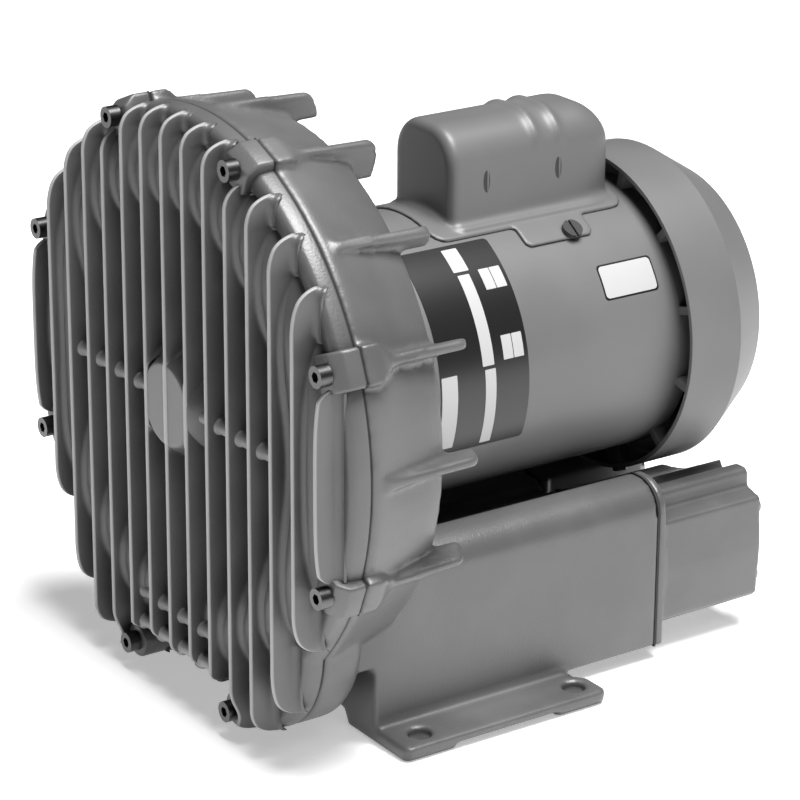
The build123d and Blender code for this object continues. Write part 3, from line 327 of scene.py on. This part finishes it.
def makeCoverPlate():
    # rings from the nose outwards over the front, round the rim's corner and back along the inside
    low, high, count = cover["stepColumns"]
    fine = np.concatenate([np.linspace(-high, -low, count), np.linspace(low, high, count)])
    even = np.linspace(0, 2 * math.pi, cover["columns"], endpoint=False)
    angle = np.unique(np.concatenate([even, math.pi + np.radians(fine)]))
    edge = coverEdge(angle)
    corner, draft, split = cover["rimCorner"], cover["rimDraft"], cover["splitStation"]
    inner = np.concatenate([[0]] + [np.linspace(*ring) for ring in cover["rings"]])
    last = cover["rings"][-1][1]
    outer = np.linspace(0, 1, cover["edgeRings"])[1:]
    radii = [np.full_like(angle, radius) for radius in inner]
    radii += [last + (edge - draft - corner - last) * share for share in outer]
    rings = [ringAt(radius, coverHeight(radius * np.sin(angle), radius * np.cos(angle)), angle)
             for radius in radii]
    front = rings[-1][:, 1]
    for turn in np.radians(cover["rimTurns"]):
        radius = edge - draft - corner * (1 - math.sin(turn))
        rings.append(ringAt(radius, front + corner * (1 - math.cos(turn)), angle))
    rings.append(ringAt(edge, split - cover["lip"], angle))
    rings.append(ringAt(edge, split, angle))
    hollow = np.linspace(cover["hollowOuter"], cover["hollowInner"], cover["hollowRings"])
    for radius in np.concatenate([hollow[:1], hollow, [cover["noseCavity"]]]):
        drop = sagitta(cover["hollowRadius"], channelDistance(radius * np.sin(angle), radius * np.cos(angle)))
        rings.append(ringAt(radius, np.minimum(cover["hollowCrest"] + drop, split), angle))
    rings.append(ringAt(cover["noseCavity"], cover["cavityStation"], angle))
    rings.append(ringAt(0.0, cover["cavityStation"], angle))
    grid = np.array(rings)
    return grid, gridFaces(grid.shape[0], grid.shape[1])


fins = dict(
    pitch=18.0, reach=7, tipHalf=1.2, rootHalf=1.6, tipRound=1.1, rootFillet=3.2,
    tipTurns=(20, 45, 68, 90), footTurns=(0, 22, 45, 68, 90),
    rimBend=12.0, lobeBend=11.5, lobeFade=8, stepBend=9.0, stepFade=6, seatBend=11.0, seatRadius=6.4,
    edgeInset=0.35, leastRise=0.6, tipShare=0.45, filletShare=0.5, sink=1.5,
    searchReach=160, searchCount=6401, stations=200, evenShare=0.45, endShare=0.55,
    highlightFrom=0.3, highlightTo=1.2, sharp=60)


def seatDistance(x, z):
    # how far a point lies outside the nearest screw's seat
    return np.min([np.hypot(x - px, z - pz) for px, pz in screwPlaces], axis=0) - fins["seatRadius"]


def rimDrop(toEdge):
    # how far the rim's rounded corner has fallen back this close to the outline
    corner = cover["rimCorner"]
    return sagitta(corner, np.clip(corner - (toEdge - cover["rimDraft"]), 0, corner))


def finTip(x, z):
    # station of a fin's crest: flush at the front, bent back at the outline and at the screws' seats
    edge = coverEdge(np.arctan2(x, z))
    rimBend, seatBend = fins["rimBend"], fins["seatBend"]
    bend = rimBend + (fins["lobeBend"] - rimBend) * smoothStep(0, fins["lobeFade"], edge - cover["rimRadius"])
    bend = bend + (fins["stepBend"] - rimBend) * smoothStep(0, fins["stepFade"], cover["rimRadius"] - edge)
    toEdge = edge - np.hypot(x, z)
    rim = sagitta(bend, bend - np.clip(toEdge, 0, bend)) + rimDrop(toEdge)
    seat = sagitta(seatBend, seatBend - np.clip(seatDistance(x, z), 0, seatBend))
    return np.maximum(rim, seat)


def makeFin(x):
    # a cross-section with a round tip, drafted sides and filleted roots, carried from bottom to top
    search = np.linspace(-fins["searchReach"], fins["searchReach"], fins["searchCount"])
    inOutline = np.hypot(x, search) < coverEdge(np.arctan2(x, search)) - fins["edgeInset"]
    inside = inOutline & (seatDistance(x, search) > 0)
    heights = search[inside & (np.abs(search) <= np.abs(search[inside]).max())]
    share = np.linspace(0, 1, fins["stations"])           # closer together towards both ends
    share = fins["evenShare"] * share + fins["endShare"] * (1 - np.cos(math.pi * share)) / 2
    z = (heights.min() + (heights.max() - heights.min()) * share)[:, None]
    tip = finTip(x, z)
    corner = rimDrop(coverEdge(np.arctan2(x, z)) - np.hypot(x, z))
    tipTurn, footTurn = np.radians(fins["tipTurns"]), np.radians(fins["footTurns"])
    halves = []
    for side in (-1, 1):
        root = coverHeight(x + side * (fins["rootHalf"] + fins["rootFillet"]), z) + corner
        root = np.maximum(root, tip + fins["leastRise"])
        tipRound = np.minimum(fins["tipRound"], (root - tip) * fins["tipShare"])
        fillet = np.minimum(fins["rootFillet"], (root - tip) * fins["filletShare"])
        tipAcross = fins["tipHalf"] * np.sin(tipTurn) + 0 * z
        footAcross = fins["rootHalf"] + fillet * (1 - np.cos(footTurn))
        tipDown = tip + tipRound * (1 - np.cos(tipTurn))
        footDown = root - fillet + fillet * np.sin(footTurn)
        across = np.concatenate([tipAcross, footAcross, footAcross[:, -1:]], axis=1)
        down = np.concatenate([tipDown, footDown, root + fins["sink"]], axis=1)
        halves.append(np.stack([x + side * across, down, z + 0 * down], axis=-1))
    crest = np.stack([np.full_like(z, x), tip, z], axis=-1)
    return closeEnds(np.concatenate([halves[0][:, ::-1], crest, halves[1]], axis=1))


def markHighlight(mesh, rule):
    # writes the painted-highlight attribute from each point's place in casing millimetres
    flat = np.empty(len(mesh.vertices) * 3)
    mesh.vertices.foreach_get("co", flat)
    place = fromFrame(flat.reshape(-1, 3))
    mesh.attributes.new("highlightAndRounding", "FLOAT", "POINT").data.foreach_set("value", rule(*place.T))


def finTipHighlight(x, y, z):
    # painted highlight: one on a fin's crest, fading over the round of its tip
    behindTip = y - finTip(np.round(x / fins["pitch"]) * fins["pitch"], z)
    return 1.0 - smoothStep(fins["highlightFrom"], fins["highlightTo"], behindTip)


# A bridge's gap is the number of the fin on its left, counted from the middle one, and a level is its height.
bridges = dict(
    sideGaps=(1, 2, 3, 4, -2, -3, -4, -5), bottomGaps=(-2, -1, 0, 1), bottomLevels=(-107.0, -123.0),
    half=3.3, station=4.8, across=(0.6, 1.4, 2.4, 4.0, 6.5, 9.0, 11.5, 14.0, 15.6, 16.6, 17.4),
    flare=1.8, flareFade=1.3, sink=1.0, columns=13, highlightAndRounding=0.6, highlightFrom=5.0, highlightTo=9.0, sharp=60)


def makeBridge(gap, level):
    # a half-round bar between two fins, flared where it meets them, carried across from left to right
    turn = np.radians(np.linspace(-90, 90, bridges["columns"]))
    across = np.array(bridges["across"])
    toFin = np.minimum(across - across[0], across[-1] - across)
    flare = bridges["flare"] * np.exp(-toFin / bridges["flareFade"])
    size = (bridges["half"] + flare)[:, None]
    front = bridges["station"] + bridges["half"] - size * np.cos(turn)[None, :]
    rise = level + size * np.sin(turn)[None, :]
    back = np.full((len(across), 1), cover["floorStation"] + bridges["sink"])
    x = (across + gap * fins["pitch"])[:, None]
    y = np.concatenate([back, front, back], axis=1)
    z = np.concatenate([level - size, rise, level + size], axis=1)
    return closeEnds(np.stack([np.broadcast_to(x, y.shape), y, z], axis=-1))


def bridgeFrontHighlight(x, y, z):
    # a share of the painted highlight at the front of a bridge, fading backwards
    return bridges["highlightAndRounding"] - bridges["highlightAndRounding"] * smoothStep(bridges["highlightFrom"], bridges["highlightTo"], y)


coverLugs = dict(
    half=9.0, inner=126.0, outer=142.5, corner=1.6, cornerLimit=0.98, cornerColumns=5, sharp=40,
    stations=(8.0, 8.3, 9.0, 13.0, 14.2, 21.5),
    inset=(1.2, 0.5, 0.0, 0.0, 0.0, 0.0), drop=(5.0, 4.5, 4.0, 0.6, 0.0, 0.0),
    bossSizes=(7.0, 8.0, 8.5, 8.5), bossStations=(8.0, 8.3, 9.2, 21.4), bossColumns=48)


def makeCoverLug(angle):
    # a rounded oblong, whose sides draw in at the front and whose top slopes up towards the split,
    # carried along the shaft's direction and turned to its angle
    stations = np.array(coverLugs["stations"])
    half = coverLugs["half"] - np.array(coverLugs["inset"])
    inner = np.full_like(half, coverLugs["inner"])
    outer = coverLugs["outer"] - np.array(coverLugs["drop"])
    largest = np.minimum(half, (outer - inner) / 2) * coverLugs["cornerLimit"]
    corner = np.minimum(coverLugs["corner"], largest)[:, None]
    half, inner, outer = half[:, None], inner[:, None], outer[:, None]
    turn = quarterTurn(coverLugs["cornerColumns"])[None, :]
    cosine, sine = corner * (1 - np.cos(turn)), corner * (1 - np.sin(turn))
    across = np.concatenate([half - cosine, sine - half, cosine - half, half - sine], axis=1)
    rise = np.concatenate([outer - sine, outer - cosine, inner + sine, inner + cosine], axis=1)
    turned = math.radians(angle)
    x = across * math.cos(turned) + rise * math.sin(turned)
    z = rise * math.cos(turned) - across * math.sin(turned)
    return closeEnds(np.stack([x, np.broadcast_to(stations[:, None], x.shape), z], axis=-1))


def makeLobeBoss(side):
    # circles along the shaft: a round boss with a rounded front edge for the screw in each lobe
    turn = np.linspace(0, 2 * math.pi, coverLugs["bossColumns"], endpoint=False)
    size = np.array(coverLugs["bossSizes"])[:, None]
    x = side * lobeScrew[0] + size * np.cos(turn)
    z = lobeScrew[1] + size * np.sin(turn)
    y = np.broadcast_to(np.array(coverLugs["bossStations"])[:, None], x.shape)
    return closeEnds(np.stack([x, y, z], axis=-1))


finParts = [makeFin(number * fins["pitch"]) for number in range(-fins["reach"], fins["reach"] + 1)]
bridgeParts = [makeBridge(gap, 0.0) for gap in bridges["sideGaps"]]
bridgeParts += [makeBridge(gap, level) for gap in bridges["bottomGaps"] for level in bridges["bottomLevels"]]
lugParts = [makeCoverLug(angle) for angle in lugAngles] + [makeLobeBoss(side) for side in (-1, 1)]
coverBody = addMesh("coverBody", [makeCoverPlate()], castPaint, sharpAngle=cover["sharp"])
coverFins = addMesh("coverFins", finParts, finPaint, sharpAngle=fins["sharp"])
coverBridges = addMesh("coverBridges", bridgeParts, finPaint, sharpAngle=bridges["sharp"])
lugPieces = addMesh("coverLugs", lugParts, castPaint, sharpAngle=coverLugs["sharp"])
# the fin crests and the fronts of the bridges get a painted highlight
markHighlight(coverFins.data, finTipHighlight)
markHighlight(coverBridges.data, bridgeFrontHighlight)
for piece in (coverBody, coverFins, coverBridges, lugPieces):
    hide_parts("impeller_cover")
print("cover made")

castings = dict(
    blower_housing=dict(name="castHousing", voxel=0.0016, rounds=5, keep=0.34),
    muffler_extension_right=dict(name="castExtensionRight", voxel=0.0011, rounds=4, keep=0.6),
    muffler_extension_left=dict(name="castExtensionLeft", voxel=0.0011, rounds=4, keep=0.6))


def applied(obj):
    # the mesh that the modifiers give, in place of the modifiers
    mesh = bpy.data.meshes.new_from_object(obj.evaluated_get(bpy.context.evaluated_depsgraph_get()))
    obj.modifiers.clear()
    obj.data = mesh


def softened(obj, voxel, rounds, keep, factor=0.5):
    # one closed skin of even cells whose corners are worn round, then thinned where it is flat
    skin = obj.modifiers.new("skin", "REMESH")
    skin.mode = "VOXEL"
    skin.voxel_size = voxel
    highlightAndRounding = obj.modifiers.new("highlightAndRounding", "SMOOTH")
    highlightAndRounding.factor = factor
    highlightAndRounding.iterations = rounds
    thin = obj.modifiers.new("thin", "DECIMATE")
    thin.ratio = keep
    applied(obj)
    obj.data.polygons.foreach_set("use_smooth", np.full(len(obj.data.polygons), True))
    obj.data.update()
    print(obj.name, len(obj.data.polygons), "faces")


webCut = dict(inner=73.0, outer=124.0, deeper=8.0, deeperAt=22.5, deeperSpread=7.0,
              front=70.4, rear=95.0, reach=117.0, rows=157)


def makeWebCut():
    # a ring behind the casing's back plate, open towards the mufflers, whose outside draws in by
    # deeper * exp(-((angle - deeperAt) / spread)^2) to leave more of the two top lugs' ribs
    degrees = np.linspace(-webCut["reach"], webCut["reach"], webCut["rows"])[:, None]
    nearLug = np.exp(-((np.abs(degrees) - webCut["deeperAt"]) / webCut["deeperSpread"]) ** 2)
    outer = webCut["outer"] - webCut["deeper"] * nearLug
    inner = np.full_like(outer, webCut["inner"])
    station = np.array([webCut["front"], webCut["front"], webCut["rear"], webCut["rear"]])[None, :]
    radius = np.concatenate([inner, outer, outer, inner], axis=1)
    return closeEnds(ringAt(radius, station, np.radians(degrees)))


def cutAway(obj, parts):
    # takes a shape away from a mesh
    cutter = addMesh("cutter", parts, castPaint)
    cut = obj.modifiers.new("cut", "BOOLEAN")
    cut.operation = "DIFFERENCE"
    cut.solver = "EXACT"
    cut.object = cutter
    applied(obj)
    bpy.data.objects.remove(cutter)


def softCopy(node, name, voxel, rounds, keep):
    # a casting's corners are round, so a copy of the solid's mesh gets a skin with worn edges
    mesh = nodes[node].data.copy()
    mesh.name = name
    turnOutward(mesh)
    obj = bpy.data.objects.new(name, mesh)
    bpy.context.scene.collection.objects.link(obj)
    if node == "blower_housing":
        cutAway(obj, [makeWebCut()])
    softened(obj, voxel, rounds, keep)
    obj.data.materials.clear()
    obj.data.materials.append(castPaint)
    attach(obj, "casing")
    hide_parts(node)


for node, values in castings.items():
    softCopy(node, **values)
print("castings made")

labels = dict(radius=69.5, rise=0.25, fieldRise=0.06, fieldCorner=0.4, edgeRise=0.12, stickerRise=0.18,
              spacing=2.5, leastRows=6, cornerRows=7, columns=9, sink=0.3, sharp=40)


def wrappedPlate(stations, angles, rise, corner=2.0):
    # a thin plate bent round the barrel: cross-sections along the shaft, one for each angle, that
    # draw in along a quarter circle at both ends so that the corners are round
    radius = labels["radius"]
    (low, high), (first, last) = stations, np.radians(angles) * radius
    turn = quarterTurn(labels["cornerRows"])
    ends, draw = corner * (1 - np.cos(turn)), corner * (1 - np.sin(turn))
    rows = max(labels["leastRows"], int((last - first) / labels["spacing"]))
    middle = np.linspace(first + corner, last - corner, rows)[1:-1]
    arc = np.concatenate([first + ends, middle, last - ends[::-1]])[:, None]
    inset = np.concatenate([draw, 0 * middle, draw[::-1]])[:, None]
    across = np.linspace(0, 1, labels["columns"])[None, :]
    top = low + inset + (high - low - 2 * inset) * across
    y = np.concatenate([top, top[:, -1:], top[:, :1]], axis=1)
    under = radius - labels["sink"]
    level = np.concatenate([np.full(labels["columns"], radius + rise), [under, under]])[None, :]
    return closeEnds(ringAt(level + 0 * y, y, arc / radius + 0 * y))


canCover = dict(
    half=24.5, top=112.5, crown=19.0, crownLeast=8, front=143.0, rear=238.0,
    frontRound=5.0, rearTop=17.0, rearSide=7.0, foot=66.5, footSink=4.0, flare=4.5,
    beads=(193.0, 206.0), beadHeight=1.7, beadWidth=2.6, beadFade=35.0,
    rows=74, endRows=9, crownColumns=13, flareColumns=6,
    flange=dict(stations=(130.0, 241.0), angles=(-26.5, 26.5), rise=1.5, corner=8.0),
    tabs=dict(stations=(174.0, 214.0), angles=(-37.0, 37.0), rise=1.5, corner=4.0),
    skin=dict(voxel=0.0009, rounds=4, keep=0.9))


def makeCanBody():
    # an arch carried along the shaft: it draws in on quarter circles at the front and the rear, flares
    # at its foot, and two beads swell over its crown and die out on its sides
    turn = quarterTurn(canCover["endRows"])
    early = canCover["front"] + canCover["frontRound"] * (1 - np.cos(turn))
    late = canCover["rear"] - canCover["rearTop"] * (1 - np.cos(turn[::-1]))
    along = np.linspace(early[-1], late[0], canCover["rows"])[1:-1]
    stations = np.concatenate([early, along, late])[:, None]
    nearFront = canCover["frontRound"] * (1 - np.sin(turn))
    nearRear = 1 - np.sin(turn[::-1])
    topInset = np.concatenate([nearFront, 0 * along, canCover["rearTop"] * nearRear])[:, None]
    sideInset = np.concatenate([nearFront, 0 * along, canCover["rearSide"] * nearRear])[:, None]
    half, top = canCover["half"] - sideInset, canCover["top"] - topInset
    crown = canCover["crown"] - np.minimum(topInset, canCover["crown"] - canCover["crownLeast"])
    arc = np.radians(np.linspace(90, 0, canCover["crownColumns"]))[None, :]
    flareTurn = np.radians(np.linspace(180, 270, canCover["flareColumns"]))[None, :]
    foot, flare = canCover["foot"], canCover["flare"]
    arcX, arcZ = half - crown + crown * np.cos(arc), top - crown + crown * np.sin(arc)
    swell = sum(np.exp(-((stations - place) / canCover["beadWidth"]) ** 2) for place in canCover["beads"])
    swell = swell * canCover["beadHeight"] * smoothStep(0.0, canCover["beadFade"], np.degrees(arc))
    arcX, arcZ = arcX + swell * np.cos(arc), arcZ + swell * np.sin(arc)
    footX = half + flare + flare * np.cos(flareTurn)
    footZ = foot + flare + flare * np.sin(flareTurn) + 0 * half
    x = np.concatenate([arcX, footX, half + flare], axis=1)
    z = np.concatenate([arcZ, footZ, 0 * half + foot - canCover["footSink"]], axis=1)
    x, z = np.concatenate([x, -x[:, ::-1]], axis=1), np.concatenate([z, z[:, ::-1]], axis=1)
    return closeEnds(np.stack([x, np.broadcast_to(stations, x.shape), z], axis=-1))


louvres = dict(
    places=(163.0, 205.0), level=86.0, sink=0.2, hoodShift=0.5, columns=32, rows=7,
    mouth=dict(wide=2.4, high=6.6, rise=0.15), hood=dict(wide=0.8, high=5.8, rise=0.7))


def makeLouvre(side, station, wide, high, rise):
    # half of a slim ellipsoid lying against the cover's side
    around = np.radians(np.linspace(0, 360, louvres["columns"] + 1)[:-1])[None, :]
    out = quarterTurn(louvres["rows"])[:-1, None]
    y = station + wide * np.cos(out) * np.cos(around)
    z = louvres["level"] + high * np.cos(out) * np.sin(around)
    x = side * (canCover["half"] - louvres["sink"] + (rise + louvres["sink"]) * np.sin(out)) + 0 * y
    return closeEnds(np.stack([x, y, z], axis=-1))


louvrePlaces = [(side, place) for side in (-1, 1) for place in louvres["places"]]
# painted shade: the slots are not cut, so a thin black half-ellipsoid in each slot's place stands for its
# dark opening, with a small hood of the cover's paint over it
mouthParts = [makeLouvre(side, place, **louvres["mouth"]) for side, place in louvrePlaces]
hoodParts = [makeLouvre(side, place + louvres["hoodShift"], **louvres["hood"])
             for side, place in louvrePlaces]
canParts = [makeCanBody(), wrappedPlate(**canCover["flange"]), wrappedPlate(**canCover["tabs"])]
capacitorCover = addMesh("capacitorCover", canParts, motorPaint)
softened(capacitorCover, **canCover["skin"])
capacitorCover.data.materials.append(motorPaint)
louvreSlotShades = addMesh("louvreSlotShades", mouthParts, blackPlasticAndSlotShade)
louvreHoods = addMesh("louvreHoods", hoodParts, motorPaint)
for piece in (capacitorCover, louvreSlotShades, louvreHoods):
    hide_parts("capacitor_cover")
print("capacitor cover made")

# Plates and their blank fields as (stations, angles): three bands, two split blocks, one at the front.
plates = dict(
    rating=((106.3, 156.5), (28.0, 113.3)), stickerEdge=((206.0, 238.0), (50.5, 65.0)),
    sticker=((206.8, 237.2), (51.2, 64.3)),
    fields=(((129.5, 138.0), (30.0, 41.0)), ((130.5, 137.0), (42.5, 79.1)),
            ((131.5, 137.5), (80.5, 111.7)), ((142.6, 148.3), (41.6, 50.5)),
            ((148.7, 154.5), (41.6, 50.5)), ((142.6, 148.2), (68.8, 78.2)),
            ((148.6, 154.2), (68.8, 78.2)), ((106.9, 115.7), (80.0, 110.5))))


def addLabel(name, parts, material):
    label = addMesh(name, parts, material, sharpAngle=labels["sharp"])


fieldRise = labels["rise"] + labels["fieldRise"]
fieldParts = [wrappedPlate(*field, fieldRise, labels["fieldCorner"]) for field in plates["fields"]]
addLabel("ratingPlate", [wrappedPlate(*plates["rating"], labels["rise"])], labelBlack)
addLabel("ratingPlateFields", fieldParts, labelWhite)
addLabel("stickerEdge", [wrappedPlate(*plates["stickerEdge"], labels["edgeRise"])], labelBlack)
addLabel("sticker", [wrappedPlate(*plates["sticker"], labels["stickerRise"])], labelWhite)
print("labels made")

studio = dict(
    key=dict(place=(2.0, -0.2, 2.4), size=1.2, power=12.0),
    top=dict(place=(0.6, 0.2, 2.5), size=1.4, power=142.0),
    aim=(0.0, 0.0, 0.15), white=(1.0, 1.0, 1.0, 1.0), skyStrength=0.02,
    floorGlow=0.42, floorReach=6.0, floorDrop=0.0005)


def addLight(name, place, size, power):
    # a round area light that faces the aim point
    data = bpy.data.lights.new(name, "AREA")
    data.shape = "DISK"
    data.size = size
    data.energy = power
    light = bpy.data.objects.new(name, data)
    light.location = place
    light.rotation_mode = "QUATERNION"
    light.rotation_quaternion = (Vector(studio["aim"]) - Vector(place)).to_track_quat("-Z", "Y")
    bpy.context.scene.collection.objects.link(light)


def addFloor(reach, level):
    # a square of side 2 * reach
    mesh = bpy.data.meshes.new("studioFloor")
    corners = [(-reach, -reach, level), (reach, -reach, level), (reach, reach, level), (-reach, reach, level)]
    mesh.from_pydata(corners, [], [(0, 1, 2, 3)])
    floor = bpy.data.objects.new("studioFloor", mesh)
    bpy.context.scene.collection.objects.link(floor)
    floor.data.materials.append(paleFloor)
    return floor


addLight("keyLight", **studio["key"])
addLight("topLight", **studio["top"])
world = bpy.data.worlds.new("studio")
world.use_nodes = True
sky = world.node_tree.nodes["Background"]
sky.inputs["Color"].default_value = studio["white"]
sky.inputs["Strength"].default_value = studio["skyStrength"]
bpy.context.scene.world = world
floorShader = paleFloor.node_tree.nodes["Principled BSDF"]
floorShader.inputs["Emission Color"].default_value = studio["white"]
floorShader.inputs["Emission Strength"].default_value = studio["floorGlow"]
addFloor(studio["floorReach"], -studio["floorDrop"])

cameraView = dict(
    place=(1.2119, -0.8183, 0.6832), back=(0.7804, -0.5172, 0.3515), up=(-0.2930, 0.1942, 0.9362),
    right=(0.5524, 0.8336, 0.0), sensor=36.0, lens=146.57, shiftX=0.0612, shiftY=-0.0104)
cameraData = bpy.data.cameras.new("camera")
cameraData.sensor_width = cameraView["sensor"]
cameraData.lens = cameraView["lens"]
cameraData.shift_x = cameraView["shiftX"]
cameraData.shift_y = cameraView["shiftY"]
camera = bpy.data.objects.new("camera", cameraData)
axes = Matrix((cameraView["right"], cameraView["up"], cameraView["back"])).transposed()
camera.matrix_world = Matrix.Translation(cameraView["place"]) @ axes.to_4x4()
bpy.context.scene.collection.objects.link(camera)
bpy.context.scene.camera = camera
bpy.context.scene.view_settings.view_transform = "Standard"
print("studio set")
